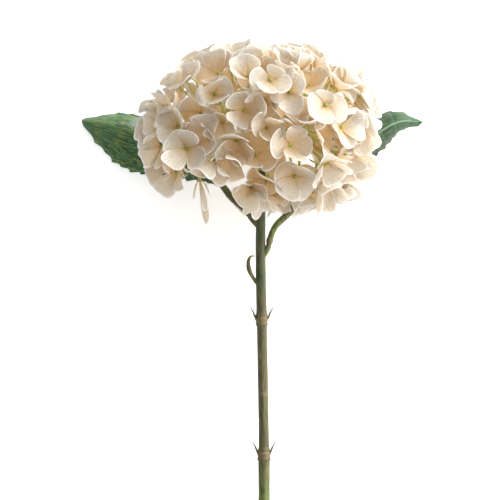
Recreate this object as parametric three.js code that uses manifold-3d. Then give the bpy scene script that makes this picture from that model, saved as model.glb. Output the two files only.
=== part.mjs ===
// A cut hydrangea lying on a table: one leafy stem with a mophead of four-sepalled florets.
//
// Everything is modelled in the flower's own frame, in millimetres: the origin is the middle of the
// cut end, +Z runs up the stem to the crown, -Y is the front of the head and +X is its right. The last
// section lays the flower on its back, so that the front looks up, the stem runs along +Y and the
// table is the plane Z = 0.
import * as THREE from "three";
import { mergeVertices } from "three/addons/utils/BufferGeometryUtils.js";
import Module from "manifold-3d";

const wasm = await Module();
wasm.setup();

const vec = (x, y, z) => new THREE.Vector3(x, y, z);
const radians = THREE.MathUtils.degToRad;
const lerp = THREE.MathUtils.lerp;
const clamp = THREE.MathUtils.clamp;

// ---------------------------------------------------------------- driving dimensions
const OVERALL_LENGTH = 350; // cut end to crown
const HEAD_WIDTH = 160;
const HEAD_HEIGHT = 121; // along the stem
const HEAD_FRONT_DEPTH = 70; // stem axis to the petals at the front
const HEAD_BACK_DEPTH = 60; // stem axis to the petals that the flower lies on
const FLORET_RADIUS = 18; // centre to the tip of a sepal
const SEPAL_THICKNESS = 0.9;
const PEDICEL_LENGTH = 13;
const PEDICEL_RADIUS = 0.9;
const RAY_RADIUS = 1.6;
const STEM_RADIUS = 3.1;
const STEM_FOOT_RADIUS = 3.5; // below the lowest node
const STEM_TOP_RADIUS = 2.6;
const LEFT_LEAF_WIDTH = 50;
const RIGHT_LEAF_WIDTH = 46;
const LEAF_THICKNESS = 0.9;
const PETIOLE_RADIUS = 2;
const NODE_HEIGHTS = [75, 164]; // the two nodes of the stem, from the cut end
const SHOOT_HEIGHT = 188;
const LEFT_PETIOLE_HEIGHT = 227;
const RIGHT_PETIOLE_HEIGHT = 208;
const CUT_SLANT = 35; // degrees between the cut face and a square cut
const GAP = 0.3; // clearance between pieces that touch

// ---------------------------------------------------------------- the head and the table
// The florets sit on a rounded box, the seat, whose front and back halves differ in depth.
const STAND_OUT = 14; // how far petals reach past the seat
const BOXINESS = 2.5; // 2 is an ellipsoid, and more is nearer to a box
const headCentre = vec(-1, 0, OVERALL_LENGTH - HEAD_HEIGHT / 2 + 1);
const seat = {
  x: HEAD_WIDTH / 2 - STAND_OUT,
  z: HEAD_HEIGHT / 2 - STAND_OUT,
  front: HEAD_FRONT_DEPTH - STAND_OUT,
  back: HEAD_BACK_DEPTH - STAND_OUT,
};
const stemTop = vec(0, 0, headCentre.z - 0.6 * seat.z);

// The table touches the foot of the stem and the back of the head.
const tableSlope = (HEAD_BACK_DEPTH - STEM_FOOT_RADIUS) / headCentre.z;
const restTilt = Math.atan(tableSlope);
const heightOverTable = (p) => (STEM_FOOT_RADIUS + tableSlope * p.z - p.y) * Math.cos(restTilt);

// ---------------------------------------------------------------- solids
const solidOf = (geometry) => {
  const bare = geometry.clone();
  for (const name of Object.keys(bare.attributes)) {
    if (name !== "position") bare.deleteAttribute(name);
  }
  const merged = mergeVertices(bare, 1e-4);
  return new wasm.Manifold(
    new wasm.Mesh({
      numProp: 3,
      vertProperties: merged.attributes.position.array,
      triVerts: new Uint32Array(merged.index.array),
    }),
  );
};

const geometryOf = (solid) => {
  const mesh = solid.getMesh();
  const geometry = new THREE.BufferGeometry();
  geometry.setAttribute("position", new THREE.BufferAttribute(mesh.vertProperties, 3));
  geometry.setIndex(new THREE.BufferAttribute(mesh.triVerts, 1));
  return geometry;
};

const joined = (geometries) => geometries.map(solidOf).reduce((whole, next) => whole.add(next));

const meshData = () => {
  const points = [];
  const faces = [];
  return {
    point: (p) => points.push(p.x, p.y, p.z) / 3 - 1,
    face: (...corners) => faces.push(...corners),
    geometry: () => {
      const geometry = new THREE.BufferGeometry();
      geometry.setAttribute("position", new THREE.Float32BufferAttribute(points, 3));
      geometry.setIndex(faces);
      return geometry;
    },
  };
};

const smoothLine = (points) => new THREE.CatmullRomCurve3(points, false, "centripetal");

// A closed round tube along a curve, whose radius is a function of the share of the way along.
const tube = (curve, radiusAt, sides, steps) => {
  const { normals, binormals } = curve.computeFrenetFrames(steps);
  const mesh = meshData();
  const rings = [];
  for (let i = 0; i <= steps; i++) {
    const centre = curve.getPointAt(i / steps);
    const radius = radiusAt(i / steps);
    rings.push(
      Array.from({ length: sides }, (_, k) => {
        const turn = (2 * Math.PI * k) / sides;
        const rim = centre.clone().addScaledVector(normals[i], radius * Math.cos(turn));
        return mesh.point(rim.addScaledVector(binormals[i], radius * Math.sin(turn)));
      }),
    );
  }
  for (let i = 0; i < steps; i++) {
    for (let k = 0; k < sides; k++) {
      const next = (k + 1) % sides;
      mesh.face(rings[i][k], rings[i][next], rings[i + 1][next]);
      mesh.face(rings[i][k], rings[i + 1][next], rings[i + 1][k]);
    }
  }
  for (let k = 1; k < sides - 1; k++) {
    mesh.face(rings[0][0], rings[0][k + 1], rings[0][k]);
    mesh.face(rings[steps][0], rings[steps][k], rings[steps][k + 1]);
  }
  return mesh.geometry();
};

// A number from 0 to 1 that is always the same for the same seed.
const chance = (seed) => {
  const value = Math.sin(seed * 12.9898) * 43758.5453;
  return value - Math.floor(value);
};

// ---------------------------------------------------------------- stem
const stemLine = smoothLine([
  vec(1.8, 0, 0),
  vec(1.6, 0, 0.22 * OVERALL_LENGTH),
  vec(0.4, 0, 0.44 * OVERALL_LENGTH),
  vec(-0.6, 0, 0.62 * OVERALL_LENGTH),
  stemTop,
]);

const stemRadius = (height) => {
  const body = height < NODE_HEIGHTS[0] ? STEM_FOOT_RADIUS : STEM_RADIUS;
  const taper = clamp((height / stemTop.z - 0.75) / 0.25, 0, 1);
  const swelling = NODE_HEIGHTS.map((node) => Math.exp(-(((height - node) / 3.5) ** 2)));
  return lerp(body, STEM_TOP_RADIUS, taper) + Math.max(...swelling);
};

const stemRod = (growth) => tube(stemLine, (u) => stemRadius(u * stemTop.z) + growth, 10, 44);

// Two opposite scale leaves stand off each node, to the left and the right, pointing up the stem.
const scaleLeaf = (node, side) => {
  const { x } = stemLine.getPointAt(node / stemTop.z);
  const line = smoothLine([
    vec(x + side * 1.5, 0, node - 1),
    vec(x + side * 4.1, -0.6, node + 1.5),
    vec(x + side * 5.6, -0.9, node + 5),
    vec(x + side * 7.2, -0.9, node + 7.5),
  ]);
  return tube(line, (u) => lerp(1.5, 0.35, u), 5, 4);
};

const stemSolid = () => {
  const scales = NODE_HEIGHTS.flatMap((node) => [scaleLeaf(node, -1), scaleLeaf(node, 1)]);
  const knife = new THREE.BoxGeometry(40, 40, 40).translate(0, 0, -20);
  knife.rotateY(radians(CUT_SLANT)).translate(stemLine.points[0].x, 0, STEM_FOOT_RADIUS);
  return joined([stemRod(0), ...scales]).subtract(solidOf(knife));
};

// A piece that grows out of the stem starts at its axis and is cut to sit against its side.
const againstStem = (solid) => solid.subtract(solidOf(stemRod(GAP)));

// ---------------------------------------------------------------- side shoot
const sideShoot = () => {
  const line = smoothLine([
    vec(0, 0, SHOOT_HEIGHT - 1),
    vec(-4.4, 0, SHOOT_HEIGHT + 2),
    vec(-8, -0.6, SHOOT_HEIGHT + 8),
    vec(-9, -1.4, SHOOT_HEIGHT + 14.5),
    vec(-7.4, -1.8, SHOOT_HEIGHT + 18),
    vec(-4.6, -1.8, SHOOT_HEIGHT + 18.4),
  ]);
  const width = (u) => (u < 0.5 ? lerp(1.3, 1.9, u / 0.5) : lerp(1.9, 0.4, (u - 0.5) / 0.5));
  return againstStem(solidOf(tube(line, width, 7, 12)));
};

// ---------------------------------------------------------------- leaves
// A leaf is a petiole and a blade that is folded along its midrib and pressed flat where it would
// reach below the table. fold is how far each half turns down from the plane of the front view.
const BLADE_STATIONS = 18;
const BLADE_COLUMNS = 3; // across each half
const TOOTH = 1.3;

const leafShape = (u) => 5.93 * u ** 1.7 * (1 - u) + 0.12 * (1 - u); // width at u, near 1 at the widest

const leafBlade = (midrib, width, fold) => {
  const pointAt = (i, j) => {
    const u = lerp(0.004, 0.996, i / BLADE_STATIONS);
    const tangent = midrib.getTangentAt(u);
    const across = tangent.clone().cross(vec(0, 1, 0)).normalize();
    const down = tangent.clone().cross(across).normalize();
    if (down.y < 0) down.negate();
    const share = Math.abs(j) / BLADE_COLUMNS;
    const tooth = share === 1 && i % 2 === 1 && i < BLADE_STATIONS ? TOOTH : 0;
    const reach = (width / 2) * leafShape(u) * share + tooth;
    const turn = radians(j > 0 ? fold.right : fold.left) * (0.75 + 0.35 * share);
    const point = midrib.getPointAt(u);
    point.addScaledVector(across, Math.sign(j) * reach * Math.cos(turn));
    point.addScaledVector(down, reach * Math.sin(turn));
    const over = heightOverTable(point) - LEAF_THICKNESS * 0.6;
    if (over < 0) point.y += over / Math.cos(restTilt);
    return point;
  };
  const columns = 2 * BLADE_COLUMNS + 1;
  const grid = Array.from({ length: BLADE_STATIONS + 1 }, (_, i) =>
    Array.from({ length: columns }, (_, k) => pointAt(i, k - BLADE_COLUMNS)),
  );
  const mesh = meshData();
  const normalAt = (i, k) => {
    const along = grid[Math.min(i + 1, BLADE_STATIONS)][k].clone().sub(grid[Math.max(i - 1, 0)][k]);
    const across = grid[i][Math.min(k + 1, columns - 1)].clone().sub(grid[i][Math.max(k - 1, 0)]);
    return along.cross(across).normalize();
  };
  const face = (side) =>
    grid.map((row, i) =>
      row.map((p, k) =>
        mesh.point(p.clone().addScaledVector(normalAt(i, k), (side * LEAF_THICKNESS) / 2)),
      ),
    );
  const [upper, lower] = [face(1), face(-1)];
  const quad = (a, b, c, d) => {
    mesh.face(a, b, c);
    mesh.face(a, c, d);
  };
  for (let i = 0; i < BLADE_STATIONS; i++) {
    for (let k = 0; k < columns - 1; k++) {
      quad(upper[i][k], upper[i + 1][k], upper[i + 1][k + 1], upper[i][k + 1]);
      quad(lower[i][k], lower[i][k + 1], lower[i + 1][k + 1], lower[i + 1][k]);
    }
    quad(upper[i][0], lower[i][0], lower[i + 1][0], upper[i + 1][0]);
    const edge = columns - 1;
    quad(upper[i][edge], upper[i + 1][edge], lower[i + 1][edge], lower[i][edge]);
  }
  for (let k = 0; k < columns - 1; k++) {
    const last = BLADE_STATIONS;
    quad(upper[0][k], upper[0][k + 1], lower[0][k + 1], lower[0][k]);
    quad(upper[last][k], lower[last][k], lower[last][k + 1], upper[last][k + 1]);
  }
  return mesh.geometry();
};

const leaf = (petiolePoints, bladePoints, width, fold) => {
  const petiole = smoothLine([...petiolePoints, bladePoints[0], bladePoints[1]]);
  const girth = (u) => PETIOLE_RADIUS * (1 + 0.25 * Math.exp(-(((u - 0.45) / 0.12) ** 2)));
  const taper = (u) => (u < 0.6 ? girth(u) : lerp(girth(0.6), 0.7, (u - 0.6) / 0.4));
  const blade = leafBlade(smoothLine(bladePoints), width, fold);
  return againstStem(joined([tube(petiole, taper, 7, 14), blade]));
};

const leftLeaf = () =>
  leaf(
    [
      vec(0, 0, LEFT_PETIOLE_HEIGHT - 3),
      vec(-5, 1, LEFT_PETIOLE_HEIGHT + 2),
      vec(-11, 4, LEFT_PETIOLE_HEIGHT + 9.5),
      vec(-20, 9, LEFT_PETIOLE_HEIGHT + 18),
    ],
    [
      vec(-28.5, 16, LEFT_PETIOLE_HEIGHT + 28.5),
      vec(-50, 31, LEFT_PETIOLE_HEIGHT + 43),
      vec(-73, 41, LEFT_PETIOLE_HEIGHT + 57),
      vec(-98, 47, LEFT_PETIOLE_HEIGHT + 66.5),
      vec(-123.5, 56, LEFT_PETIOLE_HEIGHT + 71.5),
    ],
    LEFT_LEAF_WIDTH,
    { left: 58, right: 18 },
  );

const rightLeaf = () =>
  leaf(
    [
      vec(0, 0, RIGHT_PETIOLE_HEIGHT - 3),
      vec(4, 0, RIGHT_PETIOLE_HEIGHT + 4),
      vec(5.8, 2, RIGHT_PETIOLE_HEIGHT + 11),
      vec(9, 6, RIGHT_PETIOLE_HEIGHT + 18),
      vec(16, 12, RIGHT_PETIOLE_HEIGHT + 25),
    ],
    [
      vec(30, 22, RIGHT_PETIOLE_HEIGHT + 40),
      vec(48, 31, RIGHT_PETIOLE_HEIGHT + 57),
      vec(69, 38, RIGHT_PETIOLE_HEIGHT + 74),
      vec(92, 44, RIGHT_PETIOLE_HEIGHT + 89),
      vec(110, 53, RIGHT_PETIOLE_HEIGHT + 90),
    ],
    RIGHT_LEAF_WIDTH,
    { left: 56, right: 50 },
  );

// ---------------------------------------------------------------- florets
// Each floret is [across, up, side, roll, cup, size]. across and up are its place on the seat in the
// front view, as shares of half the seat's width and height, and side is 1 on the front half and -1 on
// the back half. roll is the turn of its sepals in degrees, and cup is how much they rise, as a share of
// their length. size is a share of the usual size, and is 1 where it is left out.
const FLORETS = [
  [-0.13, 0.65, 1, 30, 0.45], [-0.24, -0.21, 1, 45, 0.5], [0.28, -0.28, 1, 20, 0.4],
  [0.71, 0.54, 1, 45, 0.35], [-0.05, -0.48, 1, 15, 0.5], [0.78, -0.03, 1, 40, 0.4],
  [-0.45, 0.42, 1, 0, 0.5], [-0.81, -0.02, 1, 50, 0.35], [-0.89, -0.36, 1, 10, 0.3],
  [1, -0.2, 1, 0, 0.35], [0.33, -0.7, 1, 20, 0.45], [0.76, -0.8, 1, 45, 0.3, 1.12],
  [0.25, 0.1, 1, 0, 0.4], [0.58, 0.24, 1, 10, 0.35], [-0.66, -0.3, 1, 30, 0.4],
  [-0.15, 0.96, 1, 45, 0.4], [0.5, 0.66, 1, 25, 0.4], [0.14, 0.93, 1, 60, 0.35],
  [-0.63, 0.18, 1, 0, 0.35], [0.9, 0.38, 1, 30, 0.35], [-1, 0.3, 1, 30, 0.35],
  [-1, -0.12, 1, 45, 0.35], [-0.65, 0.6, 1, 15, 0.35], [0.09, 0.5, 1, 20, 0.35],
  [0.76, 0.62, 1, 40, 0.35], [0.06, -0.95, 1, 45, 0.8], [-0.35, -0.5, 1, 10, 0.35, 0.92],
  [0.94, -0.55, 1, 20, 0.4], [-0.6, -0.74, 1, 30, 1.3, 0.72], [0.58, -0.46, 1, 45, 0.35],
  [-0.42, 0.82, 1, 10, 0.35], [0.38, 0.42, 1, 35, 0.4], [0.44, -0.94, 1, 0, 0.7],
  [-0.16, 0.2, 1, 20, 0.4],
  [0.05, 0.93, -1, 20, 0.3], [-0.5, 0.72, -1, 40, 0.35], [0.52, 0.66, -1, 10, 0.3],
  [-0.86, 0.4, -1, 30, 0.35], [0.86, 0.3, -1, 10, 0.35], [0, 0.55, -1, 25, 0.35],
  [0.45, 0.42, -1, 25, 0.3], [-0.45, 0.42, -1, 0, 0.3], [-0.92, -0.08, -1, 30, 0.3],
  [0.9, -0.16, -1, 0, 0.35], [0.16, 0.02, -1, 20, 0.3], [-0.3, -0.06, -1, 20, 0.3],
  [0.55, -0.2, -1, 45, 0.3], [-0.74, -0.44, -1, 45, 0.3], [0.76, -0.6, -1, 50, 0.3],
  [0.04, -0.5, -1, 10, 0.3], [0.36, -0.84, -1, 15, 0.35],
];
const RIM_POINTS = 24;
const NOTCH = 0.5; // where the gaps between the sepals begin, as a share of the radius
const PAIR_LIFT = 0.22; // how much more one pair of sepals rises than the other
const BUD_RADIUS = 1.5;
const BUD_HEIGHT = 1.8;

// A floret faces +Z: four sepals in two opposite pairs around a bud, on a straight pedicel. spare
// makes it thicker and wider all round.
const floretGeometry = (radius, cup, pedicel, spare) => {
  const mesh = meshData();
  const half = SEPAL_THICKNESS / 2 + spare;
  const reach = (turn) => NOTCH + (1 - NOTCH) * Math.abs(Math.cos(2 * turn)) ** 0.55;
  const rise = (share, turn) => cup * radius * share ** 1.5 * (1 + PAIR_LIFT * Math.cos(2 * turn));
  const draw = (share) => radius * share * (1 - 0.35 * cup * share);
  const ring = (count, pointAt) =>
    Array.from({ length: count }, (_, k) => mesh.point(pointAt((2 * Math.PI * k) / count)));
  const polar = (turn, r, z) => vec(r * Math.cos(turn), r * Math.sin(turn), z);

  const few = RIM_POINTS / 4;
  const some = RIM_POINTS / 2;
  const bud = mesh.point(vec(0, 0, BUD_HEIGHT + spare));
  const budFoot = ring(few, (t) => polar(t, BUD_RADIUS + spare, half));
  const upper = ring(some, (t) => polar(t, draw(0.5), rise(0.5, t) + half));
  const rim = ring(RIM_POINTS, (t) => polar(t, draw(reach(t)) + spare, rise(reach(t), t)));
  const lower = ring(some, (t) => polar(t, draw(0.5), rise(0.5, t) - half));
  const calyx = ring(few, (t) => polar(t, 1.5 * PEDICEL_RADIUS + spare, -2 * half));
  const foot = ring(few, (t) => polar(t, PEDICEL_RADIUS + spare, -pedicel));

  const triangle = (a, b, c, flip) => (flip ? mesh.face(a, c, b) : mesh.face(a, b, c));
  const spread = (small, large, flip) => {
    small.forEach((a, k) => {
      const b = small[(k + 1) % small.length];
      const [c, d, e] = [0, 1, 2].map((n) => large[(2 * k + n) % large.length]);
      triangle(a, c, d, flip);
      triangle(a, d, b, flip);
      triangle(b, d, e, flip);
    });
  };
  budFoot.forEach((a, k) => mesh.face(bud, a, budFoot[(k + 1) % few]));
  spread(budFoot, upper, false);
  spread(upper, rim, false);
  spread(lower, rim, true);
  spread(calyx, lower, true);
  calyx.forEach((a, k) => {
    const next = (k + 1) % few;
    mesh.face(foot[k], calyx[next], a);
    mesh.face(foot[k], foot[next], calyx[next]);
  });
  for (let k = 1; k < few - 1; k++) mesh.face(foot[0], foot[k + 1], foot[k]);
  return mesh.geometry();
};

// The point of the seat at across and up, and the way it faces. Past the seat's outline, the point
// is on the outline.
const seatAt = (across, up, side) => {
  const size = (Math.abs(across) ** BOXINESS + Math.abs(up) ** BOXINESS) ** (1 / BOXINESS);
  const inside = Math.min(1, 0.998 / size);
  const share = vec(across * inside, 0, up * inside);
  const rest = 1 - Math.min(1, size * inside) ** BOXINESS;
  share.y = -side * rest ** (1 / BOXINESS);
  const reach = vec(seat.x, side > 0 ? seat.front : seat.back, seat.z);
  const slope = (value, length) => (Math.sign(value) * Math.abs(value) ** (BOXINESS - 1)) / length;
  const facing = vec(slope(share.x, reach.x), slope(share.y, reach.y), slope(share.z, reach.z));
  return { place: share.multiply(reach).add(headCentre), facing: facing.normalize() };
};

const floretPose = (place, facing, roll) => {
  const right = vec(0, 0, 1).cross(facing).normalize();
  const up = facing.clone().cross(right);
  const side = up.multiplyScalar(Math.cos(roll)).addScaledVector(right, Math.sin(roll));
  const pose = new THREE.Matrix4().makeBasis(side, facing.clone().cross(side), facing);
  return pose.setPosition(place);
};

// A floret may be raised off the seat or sunk below it, moved along it and turned, until it touches
// no other piece and stays above the table. The fit nearest to its own place is taken.
const MOST_SINK = 9;
const MOST_LIFT = 16;
const SHIFTS = [-14, -7, 0, 7, 14]; // along the width and the height of the seat
const TWISTS = [0, 22, -22, 44]; // degrees
const fits = [];
for (let lift = -MOST_SINK; lift <= MOST_LIFT; lift++) {
  for (const shiftX of SHIFTS) {
    for (const shiftZ of SHIFTS) {
      fits.push({ lift, shiftX, shiftZ, cost: Math.abs(lift) + Math.hypot(shiftX, shiftZ) });
    }
  }
}
fits.sort((a, b) => a.cost - b.cost);

const lowest = (geometry) => {
  const corners = geometry.attributes.position;
  const heights = Array.from({ length: corners.count }, (_, i) =>
    heightOverTable(vec(corners.getX(i), corners.getY(i), corners.getZ(i))),
  );
  return Math.min(...heights);
};

const fitFloret = ([across, up, side, roll, cup, size = 1], growth, obstacles) => {
  const radius = FLORET_RADIUS * size * growth;
  for (const { lift, shiftX, shiftZ } of fits) {
    const { place, facing } = seatAt(across + shiftX / seat.x, up + shiftZ / seat.z, side);
    const centre = place.clone().addScaledVector(facing, lift);
    const pedicel = PEDICEL_LENGTH + lift;
    const near = obstacles.filter((other) => other.centre.distanceTo(centre) < other.reach + 35);
    for (const twist of TWISTS) {
      const pose = floretPose(centre, facing, radians(roll + twist));
      const room = floretGeometry(radius, cup, pedicel, GAP).applyMatrix4(pose);
      if (lowest(room) < 0) continue;
      const body = solidOf(room);
      if (near.some((other) => other.solid.intersect(body).volume() > 0)) continue;
      const geometry = floretGeometry(radius, cup, pedicel, 0).applyMatrix4(pose);
      return { geometry, facing, foot: place.clone().addScaledVector(facing, -PEDICEL_LENGTH) };
    }
  }
  throw new Error(`no room for the floret at ${across}, ${up}`);
};

// ---------------------------------------------------------------- corymb
// The branches inside the head: rays from the top of the stem towards [across, up, side], and from
// the end of the nearest ray a thin branch to the foot of each floret's pedicel.
const RAYS = [
  [0, 0.95, 1], [0, 0.5, 1], [-0.6, 0.6, 1], [0.6, 0.6, 1], [-0.95, 0, 1], [0.95, 0, 1],
  [-0.5, -0.2, 1], [0.5, -0.2, 1], [0, -0.6, 1], [0.6, 0, -1], [-0.6, 0, -1], [0, 0.6, -1],
];
const RAY_REACH = 0.42; // how far out along the seat's radius a ray ends

const corymbSolid = (feet) => {
  const root = stemTop.clone().add(vec(0, 0, GAP));
  const knob = smoothLine([root, root.clone().add(vec(0, 0, 5)), root.clone().add(vec(0, 0, 12))]);
  const pieces = [tube(knob, (u) => lerp(STEM_TOP_RADIUS, RAY_RADIUS, u), 10, 2)];
  const ends = RAYS.map(([across, up, side], index) => {
    const start = root.clone().add(vec(0, 0, 2.5 + 0.7 * index));
    const end = headCentre.clone().lerp(seatAt(across, up, side).place, RAY_REACH);
    const bend = start.clone().lerp(end, 0.5).add(vec(0, 0, -1));
    const line = smoothLine([start, bend, end]);
    pieces.push(tube(line, (u) => lerp(RAY_RADIUS, 1.25 * PEDICEL_RADIUS, u), 5, 3));
    return end;
  });
  for (const { foot, facing } of feet) {
    const hub = ends.reduce((a, b) => (a.distanceTo(foot) < b.distanceTo(foot) ? a : b));
    const tip = foot.clone().addScaledVector(facing, -GAP);
    const inner = foot.clone().addScaledVector(facing, -4);
    pieces.push(tube(smoothLine([hub, inner, tip]), () => PEDICEL_RADIUS, 4, 3));
  }
  return joined(pieces);
};

// ---------------------------------------------------------------- the flower
const stemGreen = new THREE.MeshStandardMaterial({ color: 0x6f7046, roughness: 0.6 });
const shootBrown = new THREE.MeshStandardMaterial({ color: 0x8a6d3f, roughness: 0.7 });
const leafGreen = new THREE.MeshStandardMaterial({ color: 0x3f6f52, roughness: 0.65 });
const branchGreen = new THREE.MeshStandardMaterial({ color: 0x9aa33c, roughness: 0.6 });
const petalCream = new THREE.MeshStandardMaterial({ color: 0xf3e6cf, roughness: 0.8 });

const flower = new THREE.Group();
const obstacles = [];
const addPiece = (name, solid, material) => {
  const mesh = new THREE.Mesh(geometryOf(solid), material);
  mesh.name = name;
  flower.add(mesh);
  mesh.geometry.computeBoundingSphere();
  const { center, radius } = mesh.geometry.boundingSphere;
  obstacles.push({ solid, centre: center, reach: radius });
};

addPiece("stem", stemSolid(), stemGreen);
addPiece("side_shoot", sideShoot(), shootBrown);
addPiece("leaf_left", leftLeaf(), leafGreen);
addPiece("leaf_right", rightLeaf(), leafGreen);
const feet = FLORETS.map((floret, index) => {
  const number = String(index + 1).padStart(2, "0");
  const { geometry, facing, foot } = fitFloret(floret, 0.94 + 0.12 * chance(index + 1), obstacles);
  addPiece(`floret_${number}`, solidOf(geometry), petalCream);
  return { facing, foot };
});
addPiece("corymb", corymbSolid(feet), branchGreen);

// ---------------------------------------------------------------- laid on the table
flower.rotation.x = restTilt - Math.PI / 2;
const box = new THREE.Box3().setFromObject(flower, true);
flower.position.set(-(box.min.x + box.max.x) / 2, -(box.min.y + box.max.y) / 2, -box.min.z);

export default flower;
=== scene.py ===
"""Looks for a cut hydrangea that lies on its back on a table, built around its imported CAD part.

Shapes are worked out in millimetres in the flower's own frame, the one its CAD source uses: the origin
is the middle of the cut end, +Z runs up the stem, -Y is the front of the head and +X is its right.
to_row() turns those points into the row's frame, in metres.
"""

import math

import bpy
import numpy as np
from mathutils import Matrix
from mathutils.bvhtree import BVHTree


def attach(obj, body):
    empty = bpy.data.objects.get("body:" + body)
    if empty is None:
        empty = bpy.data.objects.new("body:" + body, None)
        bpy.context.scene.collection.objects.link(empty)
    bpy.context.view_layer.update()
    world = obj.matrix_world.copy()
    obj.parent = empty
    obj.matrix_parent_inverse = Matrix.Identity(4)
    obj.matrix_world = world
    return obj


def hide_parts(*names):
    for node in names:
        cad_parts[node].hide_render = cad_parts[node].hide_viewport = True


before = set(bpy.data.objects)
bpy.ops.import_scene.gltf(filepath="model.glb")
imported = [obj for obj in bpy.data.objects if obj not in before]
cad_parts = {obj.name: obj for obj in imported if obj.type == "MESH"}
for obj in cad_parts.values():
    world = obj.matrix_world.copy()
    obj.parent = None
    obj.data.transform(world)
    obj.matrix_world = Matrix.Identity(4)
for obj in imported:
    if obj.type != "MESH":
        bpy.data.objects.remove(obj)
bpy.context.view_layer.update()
rng = np.random.default_rng(7)

# ---------------------------------------------------------------- sizes shared with the CAD part
MM = 0.001
HEAD_CENTRE = np.array((-1.0, 0.0, 290.5))
HEAD_BACK_DEPTH = 60.0
SEAT = np.array((66.0, 56.0, 46.5))  # half the width, the front's depth, half the height
SEAT_BACK = 46.0
BOXINESS = 2.5
STEM_TOP = np.array((0.0, 0.0, 262.6))
STEM_RADIUS = 3.1
STEM_FOOT_RADIUS = 3.5
STEM_TOP_RADIUS = 2.6
NODE_HEIGHTS = (75.0, 164.0)
SHOOT_HEIGHT = 188.0
LEFT_PETIOLE_HEIGHT = 227.0
RIGHT_PETIOLE_HEIGHT = 208.0
PETIOLE_RADIUS = 2.0
CUT_SLANT = math.radians(35)
FLORET_RADIUS = 18.0
PEDICEL_LENGTH = 13.0
PEDICEL_RADIUS = 0.62
BUD_HEIGHT = 1.8
BUD_SIZE = 1.2  # of a full-sized floret's bud, against the CAD part's
CLEARANCE = 0.5  # between the table and the middle of a petal or leaf that lies on it
REST_TILT = math.atan((HEAD_BACK_DEPTH - STEM_FOOT_RADIUS) / HEAD_CENTRE[2])

# ---------------------------------------------------------------- the flower's own frame
RIGHT = np.array((1.0, 0.0, 0.0))
UP = np.array((0.0, math.cos(REST_TILT), math.sin(REST_TILT)))
FRONT = np.array((0.0, -math.sin(REST_TILT), math.cos(REST_TILT)))
AXES = np.array((RIGHT, -FRONT, UP))


def node_points(node):
    """A CAD node's vertices, in the row's frame."""
    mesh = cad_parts[node].data
    points = np.empty(len(mesh.vertices) * 3)
    mesh.vertices.foreach_get("co", points)
    return points.reshape(-1, 3)


def find_origin():
    """The stem's top ring is at STEM_TOP, which fixes where the flower's origin lies."""
    points = node_points("stem")
    heights = points @ UP
    ring = np.unique(points[heights > heights.max() - 0.2 * MM].round(6), axis=0)
    return ring.mean(axis=0) - STEM_TOP @ AXES * MM


ORIGIN = find_origin()


def to_row(points):
    return ORIGIN + np.asarray(points) @ AXES * MM


def to_flower(points):
    return (np.asarray(points) - ORIGIN) @ AXES.T / MM


def unit(v):
    v = np.asarray(v, dtype=float)
    return v / np.linalg.norm(v, axis=-1, keepdims=True)


def smoothstep(low, high, x):
    t = np.clip((x - low) / (high - low), 0, 1)
    return t * t * (3 - 2 * t)


def height_over_table(points):
    slope = math.tan(REST_TILT)
    return (STEM_FOOT_RADIUS + slope * points[..., 2] - points[..., 1]) * math.cos(REST_TILT)


def pressed(points):
    """The points, with those that would reach below the table moved up onto it."""
    over = height_over_table(points) - CLEARANCE
    points = points.copy()
    points[..., 1] += np.where(over < 0, over / math.cos(REST_TILT), 0)
    return points


# ---------------------------------------------------------------- meshes
class Shape:
    """Points in the flower's frame, faces, and numbers on the points that the materials read."""

    def __init__(self):
        self.points, self.faces, self.marks = [], [], {}
        self.count = 0

    def add(self, points, faces, **marks):
        points = np.asarray(points, dtype=float).reshape(-1, 3)
        self.points.append(points)
        self.faces += [tuple(self.count + i for i in face) for face in faces]
        for name, values in marks.items():
            values = np.broadcast_to(np.asarray(values, dtype=float), (len(points),))
            self.marks.setdefault(name, []).append(values)
        self.count += len(points)

    def piece(self, name, material, slot, *nodes):
        mesh = bpy.data.meshes.new(name)
        mesh.from_pydata(to_row(np.concatenate(self.points)).tolist(), [], self.faces)
        mesh.shade_smooth()
        for mark, values in self.marks.items():
            layer = mesh.attributes.new(mark, "FLOAT", "POINT")
            layer.data.foreach_set("value", np.concatenate(values).astype(np.float32))
        mesh.materials.append(material)
        obj = bpy.data.objects.new(name, mesh)
        bpy.context.collection.objects.link(obj)
        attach(obj, "root")
        if nodes:
            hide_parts(*nodes)
        return obj


def grid_faces(rows, columns, closed=False):
    """Quads between the points of a grid, whose rows close on themselves if closed."""
    faces = []
    for i in range(rows - 1):
        for k in range(columns if closed else columns - 1):
            a, b = i * columns + k, i * columns + (k + 1) % columns
            faces.append((a, b, b + columns, a + columns))
    return faces


def smooth_line(points, count):
    """count + 1 evenly spaced points on the centripetal Catmull-Rom curve through points."""
    points = np.asarray(points, dtype=float)
    ends = np.vstack((2 * points[0] - points[1], points, 2 * points[-1] - points[-2]))
    dense = []
    for p0, p1, p2, p3 in zip(ends, ends[1:], ends[2:], ends[3:]):
        d0, d1, d2 = (math.sqrt(np.linalg.norm(b - a)) for a, b in ((p0, p1), (p1, p2), (p2, p3)))
        m1 = d1 * ((p1 - p0) / d0 - (p2 - p0) / (d0 + d1) + (p2 - p1) / d1)
        m2 = d1 * ((p2 - p1) / d1 - (p3 - p1) / (d1 + d2) + (p3 - p2) / d2)
        t = np.linspace(0, 1, 41)[:-1, None]
        cubic = (2 * p1 - 2 * p2 + m1 + m2) * t**3 + (3 * p2 - 3 * p1 - 2 * m1 - m2) * t**2
        dense.append(cubic + m1 * t + p1)
    dense = np.vstack(dense + [points[-1:]])
    lengths = np.concatenate(((0,), np.cumsum(np.linalg.norm(np.diff(dense, axis=0), axis=1))))
    wanted = np.linspace(0, lengths[-1], count + 1)
    return np.stack([np.interp(wanted, lengths, dense[:, i]) for i in range(3)], axis=1)


def tangents(line):
    return unit(np.gradient(line, axis=0))


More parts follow.
